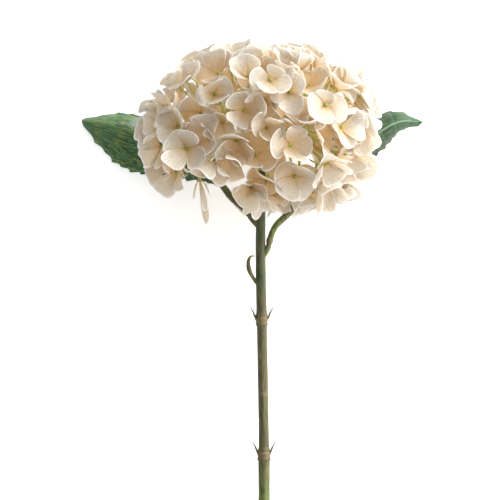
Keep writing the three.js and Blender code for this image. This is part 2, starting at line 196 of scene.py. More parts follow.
def tube(line, radii, sides=12, start=(0, -1, 0), flat=1.0):
    """A closed round tube. radii is one number for each ring, or for each ring and side. flat is the
    ratio of the tube's two diameters, and start the direction of its first side."""
    along = tangents(line)
    normal = np.asarray(start, dtype=float)
    turn = 2 * np.pi * np.arange(sides) / sides
    radii = np.broadcast_to(np.asarray(radii, dtype=float).T, (sides, len(line))).T
    rings = []
    for centre, tangent, radius in zip(line, along, radii):
        normal = unit(normal - tangent * (normal @ tangent))
        side = np.cross(tangent, normal)
        rings.append(
            centre
            + np.outer(radius * np.cos(turn), normal)
            + np.outer(radius * np.sin(turn) * flat, side)
        )
    faces = grid_faces(len(line), sides, closed=True)
    last = (len(line) - 1) * sides
    faces += [tuple(range(sides))[::-1], tuple(last + i for i in range(sides))]
    return np.vstack(rings), faces


# ---------------------------------------------------------------- materials
class Shader:
    """A node material, built node by node."""

    def __init__(self, name):
        self.material = bpy.data.materials.new(name)
        self.material.use_nodes = True
        self.tree = self.material.node_tree
        self.tree.nodes.clear()
        self.output = self.tree.nodes.new("ShaderNodeOutputMaterial")

    def node(self, kind, inputs=(), **settings):
        node = self.tree.nodes.new("ShaderNode" + kind)
        for key, value in settings.items():
            setattr(node, key, value)
        for key, value in dict(inputs).items():
            if isinstance(value, bpy.types.NodeSocket):
                self.tree.links.new(value, node.inputs[key])
            else:
                node.inputs[key].default_value = value
        return node

    def mark(self, name):
        return self.node("Attribute", attribute_name=name).outputs["Fac"]

    def math(self, operation, a, b=0.0):
        return self.node("Math", {0: a, 1: b}, operation=operation).outputs[0]

    def vector(self, x, y, z=0.0):
        return self.node("CombineXYZ", {"X": x, "Y": y, "Z": z}).outputs[0]

    def noise(self, vector, scale, detail=3.0, roughness=0.5):
        inputs = {"Vector": vector, "Scale": scale, "Detail": detail, "Roughness": roughness}
        return self.node("TexNoise", inputs).outputs["Fac"]

    def ramp(self, value, *stops):
        """stops are (position, colour or grey)."""
        node = self.node("ValToRGB", {"Fac": value})
        elements = node.color_ramp.elements
        while len(elements) < len(stops):
            elements.new(0.5)
        for element, (position, colour) in zip(elements, stops):
            element.position = position
            grey = isinstance(colour, (int, float))
            element.color = (colour, colour, colour, 1) if grey else (*colour, 1)
        return node.outputs["Color"]

    def mix(self, factor, a, b, blend="MIX"):
        node = self.node("Mix", {"Factor": factor}, data_type="RGBA", blend_type=blend)
        for index, value in ((6, a), (7, b)):
            if isinstance(value, bpy.types.NodeSocket):
                self.tree.links.new(value, node.inputs[index])
            else:
                node.inputs[index].default_value = (*value, 1)
        return node.outputs[2]

    def bump(self, height, strength, distance):
        inputs = {"Height": height, "Strength": strength, "Distance": distance * MM}
        return self.node("Bump", inputs).outputs["Normal"]

    def surface(self, colour, roughness, normal, glow=None, **inputs):
        """Principled, mixed with Translucent where glow is (share, colour)."""
        shader = self.node("BsdfPrincipled", {"Base Color": colour, "Normal": normal, **inputs})
        if isinstance(roughness, bpy.types.NodeSocket):
            self.tree.links.new(roughness, shader.inputs["Roughness"])
        else:
            shader.inputs["Roughness"].default_value = roughness
        result = shader.outputs[0]
        if glow:
            back = self.node("BsdfTranslucent", {"Color": glow[1], "Normal": normal})
            inputs = {0: glow[0], 1: result, 2: back.outputs[0]}
            result = self.node("MixShader", inputs).outputs[0]
        self.tree.links.new(result, self.output.inputs["Surface"])
        return self.material


def petal_material():
    """Ivory petals: yellow at the claw and peach near it, with faint streaks. Painted shade turns them
    warmer and darker deep in the head and on its lower left, a painted highlight whitens the rim, and a
    painted warm glow lies deep in the head."""
    s = Shader("petal")
    along, rim, fan, tone, deep = (s.mark(name) for name in ("along", "rim", "fan", "tone", "deep"))
    place = s.math("MULTIPLY", tone, 40)
    streak = s.noise(s.vector(s.math("MULTIPLY", along, 1.6), fan, place), 5)
    fibre = s.noise(s.vector(s.math("MULTIPLY", along, 5), s.math("MULTIPLY", fan, 3), place), 6, 2)
    cloud = s.noise(s.vector(along, s.math("MULTIPLY", fan, 0.3), s.math("MULTIPLY", tone, 90)), 2.2)
    shifted = s.math("ADD", along, s.math("MULTIPLY", s.math("SUBTRACT", cloud, 0.5), 0.3))
    body = s.ramp(
        shifted,
        (0.0, (0.68, 0.60, 0.20)),
        (0.08, (0.88, 0.68, 0.40)),
        (0.28, (0.89, 0.81, 0.66)),
        (0.5, (0.88, 0.85, 0.78)),
        (1.0, (0.87, 0.86, 0.83)),
    )
    # painted shade: the tone mark holds a random tone plus painted shade by the floret's place, and turns
    # petals warmer and darker peach
    toned_and_shaded = s.mix(s.ramp(tone, (0.3, 0.0), (1.0, 0.45)), body, (0.93, 0.77, 0.55))
    # painted shade: petals turn darker peach the deeper they lie in the head
    deep_shaded = s.mix(s.ramp(deep, (0.2, 0.0), (1.0, 0.6)), toned_and_shaded, (0.93, 0.74, 0.45))
    lined = s.mix(0.9, deep_shaded, s.ramp(streak, (0.32, 0.82), (0.58, 1.04)), "MULTIPLY")
    woven = s.mix(0.6, lined, s.ramp(fibre, (0.35, 0.92), (0.65, 1.02)), "MULTIPLY")
    # painted highlight: a white band along each sepal's rim, away from its claw
    painted_rim_highlight = s.ramp(rim, (0.87, 0.0), (0.94, 1.0))
    painted_highlight_band = s.math("MULTIPLY", painted_rim_highlight, s.ramp(along, (0.12, 0.0), (0.4, 0.95)))
    rim_highlighted = s.mix(painted_highlight_band, woven, (0.98, 0.98, 0.98))
    relief = s.bump(s.mix(0.4, streak, fibre), 0.8, 0.4)
    rough = s.ramp(cloud, (0.2, 0.5), (0.8, 0.68))
    # painted warm glow: the light through the petals is peach deep in the head and white at the rim
    painted_glow_warmth = s.mix(painted_highlight_band, s.ramp(deep, (0.1, 0.16), (0.85, 0.62)), (0.05, 0.05, 0.05))
    glow = s.mix(painted_glow_warmth, rim_highlighted, (1.0, 0.80, 0.50))
    return s.surface(rim_highlighted, rough, relief, (0.55, glow), **{"Specular IOR Level": 0.4})


def branch_material():
    """Yellow-green pedicels and branches, with greener buds."""
    s = Shader("branch")
    place = s.node("TexCoord").outputs["Object"]
    bud = s.mark("bud")
    patch = s.noise(place, 260)
    stalk = s.ramp(patch, (0.3, (0.44, 0.47, 0.10)), (0.7, (0.66, 0.64, 0.26)))
    green = s.ramp(patch, (0.3, (0.20, 0.24, 0.03)), (0.7, (0.50, 0.52, 0.09)))
    grain = s.noise(place, 1400)
    colour = s.mix(bud, stalk, green)
    rough = s.ramp(patch, (0.2, 0.45), (0.8, 0.62))
    return s.surface(colour, rough, s.bump(grain, 0.4, 0.1))


def stem_material():
    """Olive stem: browner in the middle and at the nodes, green at the foot, with a pale cut face."""
    s = Shader("stem")
    place = s.node("TexCoord").outputs["Object"]
    # On the petioles the height and scar marks also carry painted shade.
    height, scar, cut = (s.mark(name) for name in ("height", "scar", "cut"))
    long = s.node("Mapping", {"Vector": place, "Scale": (1, 0.12, 1)}).outputs[0]
    grain = s.noise(long, 700, 4)
    patch = s.noise(place, 60, 4, 0.6)
    green = s.ramp(
        height,
        (0.0, (0.15, 0.22, 0.045)),
        (0.24, (0.12, 0.155, 0.04)),
        (0.3, (0.10, 0.105, 0.035)),
        (0.58, (0.085, 0.09, 0.03)),
        (0.66, (0.075, 0.095, 0.03)),
        (1.0, (0.055, 0.075, 0.03)),
    )
    brown = s.mix(s.ramp(patch, (0.42, 0.0), (0.62, 0.7)), green, (0.12, 0.085, 0.035))
    lined = s.mix(0.8, brown, s.ramp(grain, (0.35, 0.45), (0.65, 1.3)), "MULTIPLY")
    scarred_and_shaded = s.mix(scar, lined, (0.20, 0.145, 0.07))
    ring = s.noise(place, 700, 2)
    pith = s.ramp(ring, (0.3, (0.42, 0.47, 0.22)), (0.7, (0.70, 0.71, 0.48)))
    colour = s.mix(cut, scarred_and_shaded, pith)
    rough = s.ramp(grain, (0.3, 0.5), (0.7, 0.72))
    return s.surface(colour, rough, s.bump(grain, 0.7, 0.25))


def shoot_material():
    """A brown-green side shoot with an orange tip."""
    s = Shader("shoot")
    place = s.node("TexCoord").outputs["Object"]
    height = s.mark("height")
    body = s.ramp(
        height,
        (0.0, (0.10, 0.10, 0.035)),
        (0.35, (0.14, 0.13, 0.04)),
        (0.8, (0.09, 0.075, 0.03)),
        (1.0, (0.55, 0.26, 0.07)),
    )
    grain = s.noise(place, 800, 4)
    colour = s.mix(0.8, body, s.ramp(grain, (0.3, 0.6), (0.7, 1.2)), "MULTIPLY")
    rough = s.ramp(grain, (0.3, 0.55), (0.7, 0.75))
    return s.surface(colour, rough, s.bump(grain, 0.6, 0.2))


def leaf_material():
    """Green blade with wavy yellow-green threads along it, a pale rib and a grey-green underside, with a
    painted mint sheen towards the tip and a painted pale sheen in a strip on the left leaf.
    """
    s = Shader("leaf")
    along, across, under = (s.mark(name) for name in ("along", "across", "under"))
    vein, plain, crest = (s.mark(name) for name in ("vein", "plain", "crest"))
    drift = s.math("MULTIPLY", s.noise(s.vector(s.math("MULTIPLY", along, 14), across), 1.0, 1), 0.22)
    bent = s.math("ADD", across, drift)
    fine = s.vector(s.math("MULTIPLY", along, 13), s.math("MULTIPLY", bent, 26))
    thin = s.vector(s.math("MULTIPLY", along, 30), s.math("MULTIPLY", bent, 60), 3.0)
    broad = s.vector(s.math("MULTIPLY", along, 6), s.math("MULTIPLY", across, 4))
    thread, hair = s.noise(fine, 1.0, 2, 0.65), s.noise(thin, 1.0, 2, 0.6)
    patch = s.noise(broad, 1.1, 3)
    base = s.ramp(patch, (0.3, (0.035, 0.100, 0.045)), (0.7, (0.075, 0.215, 0.100)))
    minted = s.mix(s.math("MULTIPLY", plain, 0.9), base, (0.012, 0.042, 0.020))
    # painted sheen: a lighter mint green towards the tip
    painted_tip_sheen = s.mix(s.ramp(along, (0.72, 0.0), (0.98, 0.45)), minted, (0.09, 0.23, 0.12))
    dark = s.mix(0.9, painted_tip_sheen, s.ramp(hair, (0.36, 0.4), (0.62, 1.5)), "MULTIPLY")
    strong = s.math("SUBTRACT", 1.0, s.math("MULTIPLY", plain, 0.7))
    lines = s.mix(
        s.math("MULTIPLY", s.ramp(thread, (0.52, 0.0), (0.6, 0.85)), strong), dark, (0.33, 0.38, 0.10)
    )
    rib = s.mix(plain, (0.12, 0.20, 0.07), (0.22, 0.33, 0.23))
    veined = s.mix(s.ramp(vein, (0.2, 0.0), (0.9, 0.85)), lines, rib)
    # painted sheen: a pale grey-green strip on the left leaf
    shone = s.mix(crest, veined, (0.34, 0.40, 0.39))
    back = s.mix(s.ramp(hair, (0.3, 0.0), (0.7, 0.5)), (0.46, 0.53, 0.49), (0.28, 0.36, 0.31))
    colour = s.mix(under, shone, back)
    height = s.mix(0.5, s.ramp(hair, (0.3, 0.0), (0.7, 1.0)), s.ramp(thread, (0.4, 0.0), (0.7, 1.0)))
    rough = s.ramp(patch, (0.3, 0.36), (0.7, 0.55))
    glow = s.mix(0.5, colour, (0.16, 0.30, 0.05))
    relief = s.bump(height, 0.7, 0.2)
    return s.surface(colour, rough, relief, (0.06, glow), **{"Specular IOR Level": 0.3})


PETAL = petal_material()
BRANCH = branch_material()
STEM = stem_material()
SHOOT = shoot_material()
LEAF = leaf_material()

# ---------------------------------------------------------------- florets
SEPAL_CELLS = 14  # across the grid of one sepal
SEPAL_THICKNESS = 0.26
EDGE_LIFT = 0.35  # how far a sepal's rim stands up
CUP_SHRINK = 0.35  # how much shorter a sepal looks from above, as a share of its rise
PAIR_LIFT = 0.3  # how much more than the mean one pair of sepals rises, and the other less


def disc_grid(cells):
    """A grid of quads on the unit disc, finer at its rim, and its outline in order."""
    x = np.linspace(-1, 1, cells + 1)
    x = 0.4 * x + 0.6 * np.sin(0.5 * np.pi * x)
    s, t = np.meshgrid(x, x, indexing="ij")
    p, q = s * np.sqrt(1 - t * t / 2), t * np.sqrt(1 - s * s / 2)
    index = np.arange((cells + 1) ** 2).reshape(cells + 1, cells + 1)
    outline = [*index[0, :-1], *index[:-1, -1], *index[-1, :0:-1], *index[:0:-1, 0]]
    return p.ravel(), q.ravel(), outline


DISC_P, DISC_Q, DISC_OUTLINE = disc_grid(SEPAL_CELLS)


def sepal(radius, width, cup, bend, curl, hollow, twist, ruffle, phase):
    """The middle surface of one sepal, pointing along +X: width is half its width as a share of its
    length, cup its rise at the tip, bend how late it rises, curl how far the tip turns back down,
    hollow how much its sides rise, twist a turn about its length, ruffle the height of the waves on
    its rim and phase their place. A sepal that rises more is narrower."""
    u = (DISC_P + 1) / 2
    r = np.hypot(DISC_P, DISC_Q)
    around = np.arctan2(DISC_Q, DISC_P)
    waist = 0.5 + 0.5 * smoothstep(0, 0.6, u)
    wave = 1 + 0.03 * np.sin(3 * around + phase) * r**3
    width = width * (1 - 0.2 * min(cup, 1.4))
    y = radius * width * DISC_Q * 1.1 * waist * wave
    x = radius * u * (1 - CUP_SHRINK * cup * u) * (1 + 0.02 * np.sin(2 * around + 2 * phase) * r**3)
    z = radius * cup * u**bend
    z -= radius * curl * np.maximum(u - 0.45, 0) ** 2 * 3.3
    z += radius * hollow * (y / (radius * width)) ** 2 * (0.3 + 0.7 * u)
    z += y * math.tan(twist) * u
    ripple = np.sin(4 * around + phase) + 0.5 * np.sin(9 * around + 3 * phase)
    z += radius * ruffle * ripple * r**4
    z += EDGE_LIFT * smoothstep(0.86, 1, r)
    return np.stack((x, y, z), axis=1), u, r


def surface_normals(points, cells):
    grid = points.reshape(cells + 1, cells + 1, 3)
    normals = np.cross(np.gradient(grid, axis=0), np.gradient(grid, axis=1))
    return unit(normals).reshape(-1, 3)


SEPAL_FACES = grid_faces(SEPAL_CELLS + 1, SEPAL_CELLS + 1)
STAND_OUT = 14.0  # from the seat to the outside of the head
SPILL = 0.35  # how much of their reach past the head's outline petals keep
FLAT_TOP = (0, 0, 3)  # how much lower the outline is than the outside of the florets


def seat_size(offset):
    """The half sizes of the florets' seat, on the side where an offset from its centre lies."""
    size = np.broadcast_to(SEAT, offset.shape).copy()
    size[..., 1] = np.where(offset[..., 1] < 0, SEAT[1], SEAT_BACK)
    return size


def depth_in_head(points):
    """0 for points on the outside of the head, up to 1 for those inside the ring of florets."""
    offset = points - HEAD_CENTRE
    outside = seat_size(offset) + STAND_OUT
    reach = (np.abs(offset / outside) ** BOXINESS).sum(axis=-1) ** (1 / BOXINESS)
    return smoothstep(0.94, 0.68, reach)


def rounded_off(points):
    """The points, with those of the upper head that stick out past its round outline drawn in."""
    offset = points - HEAD_CENTRE
    outline = seat_size(offset) + STAND_OUT - FLAT_TOP
    reach = np.linalg.norm(offset / outline, axis=-1, keepdims=True)
    drawn = np.where(reach > 1, (1 + SPILL * (reach - 1)) / np.maximum(reach, 1), 1)
    upper = smoothstep(-25, 0, offset[..., 2:])
    drawn = np.where(upper < 1, 1 + (drawn - 1) * upper, drawn)
    return HEAD_CENTRE + offset * drawn


def lay_sepal(pose, form):
    """A sepal's middle surface in the flower's frame, and what the materials read."""
    shape = {key: form[key] for key in form if key not in ("swing", "tone")}
    middle, u, r = sepal(**shape)
    fan = np.arctan2(middle[:, 1], middle[:, 0] + 0.35 * form["radius"]) * 6 + 17 * form["tone"]
    cos, sin = math.cos(form["swing"]), math.sin(form["swing"])
    turned = middle @ np.array(((cos, sin, 0), (-sin, cos, 0), (0, 0, 1)))
    points = rounded_off(turned @ pose[:3] + pose[3])
    tone = np.full(len(u), form["tone"])
    return points, {"along": u, "rim": r, "fan": fan, "tone": tone, "deep": depth_in_head(points)}


def add_sepal(shape, middle, marks):
    normals = surface_normals(middle, SEPAL_CELLS)
    half = SEPAL_THICKNESS / 2 * (1 - 0.35 * marks["rim"] ** 6)[:, None]
    count = len(middle)
    top = [face[::-1] for face in SEPAL_FACES]
    faces = top + [tuple(count + i for i in face[::-1]) for face in top]
    around = zip(DISC_OUTLINE, DISC_OUTLINE[1:] + DISC_OUTLINE[:1])
    faces += [(a, b, count + b, count + a) for a, b in around]
    marks = {name: np.tile(values, 2) for name, values in marks.items()}
    shape.add(np.vstack((middle + normals * half, middle - normals * half)), faces, **marks)


def add_bud(shape, pose, size):
    """A four-lobed bud on a small calyx."""
    rings, sides = 7, 16
    slope = np.linspace(-0.35, 1, rings) * np.pi / 2
    turn = 2 * np.pi * np.arange(sides) / sides
    lobes = 1 - 0.22 * np.abs(np.sin(2 * turn)) ** 0.6
    reach = np.outer(np.cos(slope), lobes) * 1.55 * size
    points = np.stack(
        (
            reach * np.cos(turn),
            reach * np.sin(turn),
            np.outer(np.sin(slope) * BUD_HEIGHT * size, np.ones(sides)),
        ),
        axis=2,
    )
    points[-1] = (0, 0, BUD_HEIGHT * 0.92 * size)
    flat = points.reshape(-1, 3)
    faces = grid_faces(rings - 1, sides, closed=True)
    last = (rings - 2) * sides
    flat = flat[: last + sides + 1]
    top = last + sides
    faces += [(last + k, last + (k + 1) % sides, top) for k in range(sides)]
    faces.append(tuple(range(sides))[::-1])
    shape.add(flat @ pose[:3] + pose[3], faces, bud=1)


OFF_AXIS = (0.3, 0.2, 1)  # crossed with a stalk's direction, it gives the first side of its tube


def add_pedicel(shape, foot, inner, centre, axis):
    """A stalk that flares into the calyx under the sepals."""
    top = centre + axis * 0.2
    line = smooth_line([foot, inner, centre - axis * 4, top], 14)
    u = np.linspace(0, 1, len(line))
    radii = PEDICEL_RADIUS * (1 + 0.9 * smoothstep(0.8, 1, u) + 0.15 * smoothstep(0.15, 0, u))
    shape.add(*tube(line, radii, 8, start=unit(np.cross(axis, OFF_AXIS))), bud=0)


FUNNEL_CUP = 0.55  # a floret that is cupped more than this keeps its shape
DROOPING_WIDTH = 0.24
RAISED_SHARE = 0.12  # how many sepals stand up from an open floret


def random_forms(radius, cup, tone, turn, drooping):
    """Four sepals, the even ones above the odd ones, each a little different. Those of an open
    floret open more or less together, and now and then one of them stands up."""
    forms = []
    width = DROOPING_WIDTH if drooping else rng.uniform(0.48, 0.6)
    funnel = cup > FUNNEL_CUP
    opening = rng.uniform(0.9, 1.1) if funnel else rng.uniform(0.7, 2.0)
    for index in range(4):
        lift = 1 + PAIR_LIFT * (1 if index % 2 == 0 else -1)
        raised = rng.uniform(0.3, 0.6) if rng.random() < RAISED_SHARE and not funnel else 0.0
        forms.append(
            {
                "swing": turn + index * np.pi / 2 + rng.normal(0, 0.12),
                "tone": float(np.clip(tone + rng.normal(0, 0.15), 0, 1)),
                "radius": radius * rng.uniform(0.9, 1.12),
                "width": width * rng.uniform(0.92, 1.08),
                "cup": cup * lift * opening * rng.uniform(0.85, 1.2) + raised,
                "bend": rng.uniform(1.0, 1.6),
                "curl": max(0.0, rng.normal(0.16, 0.14)),
                "hollow": rng.uniform(0.1, 0.42),
                "twist": rng.normal(0, 0.2),
                "ruffle": rng.uniform(0.006, 0.022),
                "phase": rng.uniform(0, 6.28),
            }
        )
    return forms


TRIES = 9
TILT = 0.36  # spread of a floret's random lean away from the direction given for it
NEAR = 45.0  # florets whose centres are closer than this may cross
TOO_LOW = 200  # how many crossings each millimetre below the table counts as
FOUR_SEPALS = [
    tuple(index * (SEPAL_CELLS + 1) ** 2 + i for i in face) for index in range(4) for face in SEPAL_FACES
]
built = []


def build_floret(name, centre, axis, side, foot, radius, cup, tone, lean, nodes=(), drooping=False):
    """One floret: its sepals are one piece, and its pedicel and bud another. Of several random
    variations, the one that crosses its neighbours and the table least is kept."""
    best = None
    near = [tree for place, tree in built if np.linalg.norm(place - centre) < NEAR]
    for _ in range(TRIES):
        facing = unit(axis + rng.normal(0, lean, 3))
        across = unit(np.cross(facing, side))
        pose = np.vstack((np.cross(across, facing), across, facing, centre))
        forms = random_forms(radius, cup, tone, rng.normal(0, lean), drooping)
        laid = [lay_sepal(pose, form) for form in forms]
        points = np.vstack([middle for middle, _ in laid])
        tree = BVHTree.FromPolygons(points.tolist(), FOUR_SEPALS)
        crossings = sum(len(tree.overlap(other)) for other in near)
        crossings += TOO_LOW * max(0.0, CLEARANCE - height_over_table(points).min())
        if best is None or crossings < best[0]:
            best = (crossings, laid, pose, tree)
    _, laid, pose, tree = best
    built.append((centre, tree))
    petals = Shape()
    for middle, marks in laid:
        add_sepal(petals, pressed(middle), marks)
    petals.piece(name, PETAL, "petal", *nodes)
    stalk = Shape()
    wander = pose[1] * rng.uniform(-1.2, 1.2)
    add_pedicel(stalk, foot, (foot + centre) / 2 + wander, centre, pose[2])
    add_bud(stalk, pose, BUD_SIZE * radius / FLORET_RADIUS)
    stalk.piece(name + "_centre", BRANCH, "branch")


SAME_HEIGHT = 0.1  # points that differ less than this are in one ring
ON_AXIS = 0.3  # points that are closer than this to the axis are on it


def read_floret(node):
    """The place, directions and sizes of a CAD floret, found from its own mesh. Its two pairs of
    sepals are alike, so the principal axes of its surface are its axis and the two pairs."""
    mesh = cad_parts[node].data
    points = to_flower(node_points(node))
    mesh.calc_loop_triangles()
    corners = points[np.array([t.vertices[:] for t in mesh.loop_triangles])]
    edges = corners[:, 1:] - corners[:, :1]
    areas = np.linalg.norm(np.cross(edges[:, 0], edges[:, 1]), axis=1)
    middle = (corners.mean(axis=1) * areas[:, None]).sum(axis=0) / areas.sum()
    local = corners - middle
    total = local.sum(axis=1)
    spread = np.einsum("t,tci,tcj->ij", areas, local, local)
    spread += np.einsum("t,ti,tj->ij", areas, total, total)
    vertices = np.unique(points.round(3), axis=0)
    best = None
    for axis in np.linalg.eigh(spread)[1].T:
        for direction in (axis, -axis):
            heights = (vertices - middle) @ direction
            ring = vertices[heights < heights.min() + SAME_HEIGHT]
            off = np.linalg.norm(np.cross(ring - middle, direction), axis=1).mean()
            if best is None or off < best[0]:
                best = (off, direction, ring.mean(axis=0))
    _, axis, foot = best
    off = np.linalg.norm(np.cross(vertices - foot, axis), axis=1)
    near = vertices[off < ON_AXIS]
    apex = near[np.argmax((near - foot) @ axis)]
    axis = unit(apex - foot)
    centre = apex - axis * BUD_HEIGHT
    heights = (vertices - centre) @ axis
    outward = (vertices - centre) - np.outer(heights, axis)
    reach = np.linalg.norm(outward, axis=1)
    tips = np.argsort(-reach)[:4]
    tips = tips[np.argsort(-heights[tips])]
    radius = reach[tips].mean() + CUP_SHRINK * heights[tips].mean()
    return {
        "centre": centre,
        "axis": axis,
        "side": unit(outward[tips[0]]),
        "foot": foot,
        "radius": radius,
        "cup": heights[tips].mean() / radius,
    }


HEAD_REACH = (75, 65, 55)


def warmth_and_painted_shade(centre):
    """How warm a floret's petals are: warmest in the middle of the front, and, as painted shade, warmer
    and darker below the middle and on the left, away from the light.
    """
    x, y, z = (centre - HEAD_CENTRE) / HEAD_REACH
    return float(np.clip(0.58 - 0.38 * math.hypot(x, z) - 0.15 * y - 0.22 * z - 0.15 * x, 0.05, 0.8))


florets = {name: read_floret(name) for name in sorted(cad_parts) if name.startswith("floret")}
LARGEST_RADIUS = 18.5
OPEN_SIZE = 0.95  # of an open floret's radius, against the CAD part's
FUNNEL_SIZE = 0.88
STEADY_CUP = 0.6  # a floret that is cupped more than this hardly leans
STEADY_TILT = 0.05
DROOP = 1.7  # how much more the drooping floret is closed than its CAD solid
DROOP_LEAN = (0.5, 0, 0)


def build_cad_florets():
    """The florets that the CAD part has, each in the place of its node."""
    for name, f in florets.items():
        drooping = f["cup"] > 1
        axis = unit(f["axis"] + DROOP_LEAN) if drooping else f["axis"]
        size = FUNNEL_SIZE if f["cup"] > FUNNEL_CUP else OPEN_SIZE
        radius = min(f["radius"], LARGEST_RADIUS) * size
        cup = f["cup"] * (DROOP if drooping else 1)
        lean = STEADY_TILT if f["cup"] > STEADY_CUP else TILT
        build_floret(
            name + "_sepals", f["centre"], axis, f["side"], f["foot"],
            radius, cup, warmth_and_painted_shade(f["centre"]), lean, (name,), drooping,
        )  # fmt: skip


build_cad_florets()

# ---------------------------------------------------------------- florets inside the head
INNER_FLORETS = 66
INNER_SINK = 1.5
# extra painted shade, warmer and darker, for the inner florets that sit deep in the head
INNER_PAINTED_SHADE = 0.2
CANDIDATES = 900
STEM_SPACE = 22.0  # no floret's seat is nearer to the stem than this, below the head's middle
LOW_SPACE = 8.0  # nor is its outside nearer to the table
OPEN_BELOW = 269.0  # and the head stops higher on its left, where the petiole shows
OPEN_SIDE = -8.0
LOW_LEFT = (-0.31, -0.85, -0.38)  # the direction of the first one, from the head's centre
GOLDEN_ANGLE = np.pi * (3 - math.sqrt(5))


def seat_point(direction):
    """Where a direction from the head's centre meets the seat of the florets, and the normal."""
    size = seat_size(direction)
    share = direction / size
    share /= (np.abs(share) ** BOXINESS).sum() ** (1 / BOXINESS)
    normal = np.sign(share) * np.abs(share) ** (BOXINESS - 1) / size
    return HEAD_CENTRE + share * size, unit(normal)


def free_seats():
    """Evenly spread places on the seat where a floret may stand."""
    seats = []
    for index in range(CANDIDATES):
        height = 1 - 2 * (index + 0.5) / CANDIDATES
        ring = math.sqrt(1 - height * height)
        turn = GOLDEN_ANGLE * index
        place, normal = seat_point(np.array((ring * math.cos(turn), ring * math.sin(turn), height)))
        near_stem = math.hypot(place[0], place[1]) < STEM_SPACE and place[2] < HEAD_CENTRE[2]
        low = height_over_table(place + normal * LOW_SPACE) < LOW_SPACE
        opening = place[0] < OPEN_SIDE and place[2] < OPEN_BELOW
        if not near_stem and not low and not opening:
            seats.append((place, normal))
    return seats


def build_inner_florets():
    """Florets between those of the CAD part, each on the seat that is farthest from all others."""
    seats = free_seats()
    taken = [f["centre"] for f in florets.values()]
    for number in range(1, INNER_FLORETS + 1):
        gaps = [min(np.linalg.norm(place - other) for other in taken) for place, _ in seats]
        place, normal = seats[int(np.argmax(gaps))]
        if number == 1:
            place, normal = seat_point(unit(LOW_LEFT))
        taken.append(place)
        centre = place - normal * (INNER_SINK + rng.uniform(-1.5, 1.5))
        axis = unit(normal + rng.normal(0, 0.12, 3))
        side = unit(np.cross(axis, rng.normal(0, 1, 3)))
        foot = centre - axis * PEDICEL_LENGTH
        radius = FLORET_RADIUS * rng.uniform(0.8, 1.0)
        cup = rng.uniform(0.35, 0.6)
        build_floret(
            f"inner_floret_{number:02d}", centre, axis, side, foot,
            radius, cup, warmth_and_painted_shade(centre) + INNER_PAINTED_SHADE, TILT,
        )  # fmt: skip


build_inner_florets()

# ---------------------------------------------------------------- corymb
RAYS = (
    (0, -1, 2), (0, -1.5, 0.6), (-1.2, -1, 0.8), (1.2, -1, 0.8), (-2, -0.6, 0), (2, -0.6, 0),
    (-0.9, -1.5, -0.3), (0.9, -1.5, -0.3), (0, -1.5, -0.8), (1.5, 1.2, 0), (-1.5, 1.2, 0), (0, 1.3, 0.9),
)  # fmt: skip
RAY_REACH = 0.42  # of the way from the head's centre to the seat
RAY_RADII = (1.6, 0.9)
TWIG_RADII = (0.85, 0.65)


def build_corymb():
    """Rays from the top of the stem, and a twig from the nearest ray to each floret's foot."""
    corymb = Shape()
    ends = []
    for index, direction in enumerate(RAYS):
        root = STEM_TOP + (0, 0, 1 + 0.6 * index)
        end = HEAD_CENTRE + (seat_point(unit(direction))[0] - HEAD_CENTRE) * RAY_REACH
        line = smooth_line([root, (root + end) / 2 - (0, 0, 1.5), end], 14)
        corymb.add(*tube(line, np.linspace(*RAY_RADII, len(line)), 10, start=(0.3, -1, 0.2)), bud=0)
        ends.append(end)
    knob = smooth_line([STEM_TOP - (0, 0, 1), STEM_TOP + (0, 0, 5), STEM_TOP + (0, 0, 12)], 10)
    corymb.add(*tube(knob, np.linspace(STEM_TOP_RADIUS, RAY_RADII[0], len(knob)), 14), bud=0)
    for f in florets.values():
        hub = min(ends, key=lambda end: np.linalg.norm(end - f["foot"]))
        line = smooth_line([hub, f["foot"] - f["axis"] * 4, f["foot"] + f["axis"] * 0.2], 12)
        start = unit(np.cross(f["axis"], OFF_AXIS))
        corymb.add(*tube(line, np.linspace(*TWIG_RADII, len(line)), 8, start=start), bud=0)
    corymb.piece("corymb_branches", BRANCH, "branch", "corymb")


build_corymb()

# ---------------------------------------------------------------- stem
STEM_POINTS = ((1.5, 0, 0), (1.3, 0, 77), (0.1, 0, 154), (-0.9, 0, 217), tuple(STEM_TOP))
STEM_RINGS = 420
STEM_SIDES = 28
STEM_SKIN = 0.25  # how much wider the stem is than its CAD solid, so that it covers it
TAPER_FROM = 0.75  # of the stem's height
NODE_SWELL, NODE_SPREAD = 0.75, 3.8
RIDGES = (-3.2, 0.4, 3.4)  # heights of the rings on a node, from its middle
# A scar is (height, turn from the front towards the right in radians, half height, half turn).
SCARS = ((115.0, 0.5, 1.6, 1.1), (64.5, 0.75, 3.2, 0.32), (140.0, -0.4, 2.6, 0.2), (236.0, 0.9, 2.0, 0.3))
CUT_BLEND = 12.0  # the height over which the rings turn from the cut's slant to level
CUT_RINGS = ((0.97, 0.02), (0.8, 0.12), (0.5, 0.2), (0.2, 0.5))  # share of the radius, depth
SCALE_LINE = ((1.5, 0, -1), (4.1, -0.6, 1.5), (5.8, -0.9, 5.5), (8, -0.9, 9))
SCALE_SIDES = 10
SCALE_TONE = 0.62


def stem_radius(height):
    step = smoothstep(NODE_HEIGHTS[0] - 2, NODE_HEIGHTS[0] + 3, height)
    body = STEM_FOOT_RADIUS + (STEM_RADIUS - STEM_FOOT_RADIUS) * step
    taper = np.clip((height / STEM_TOP[2] - TAPER_FROM) / (1 - TAPER_FROM), 0, 1)
    body = body + (STEM_TOP_RADIUS - body) * taper
    for node in NODE_HEIGHTS:
        offset = height - node
        body = body + NODE_SWELL * np.exp(-((offset / NODE_SPREAD) ** 2))
        for ridge in RIDGES:
            body = body + 0.42 * np.exp(-(((offset - ridge) / 0.55) ** 2))
            body = body - 0.22 * np.exp(-(((offset - ridge + 1.1) / 0.5) ** 2))
    return body


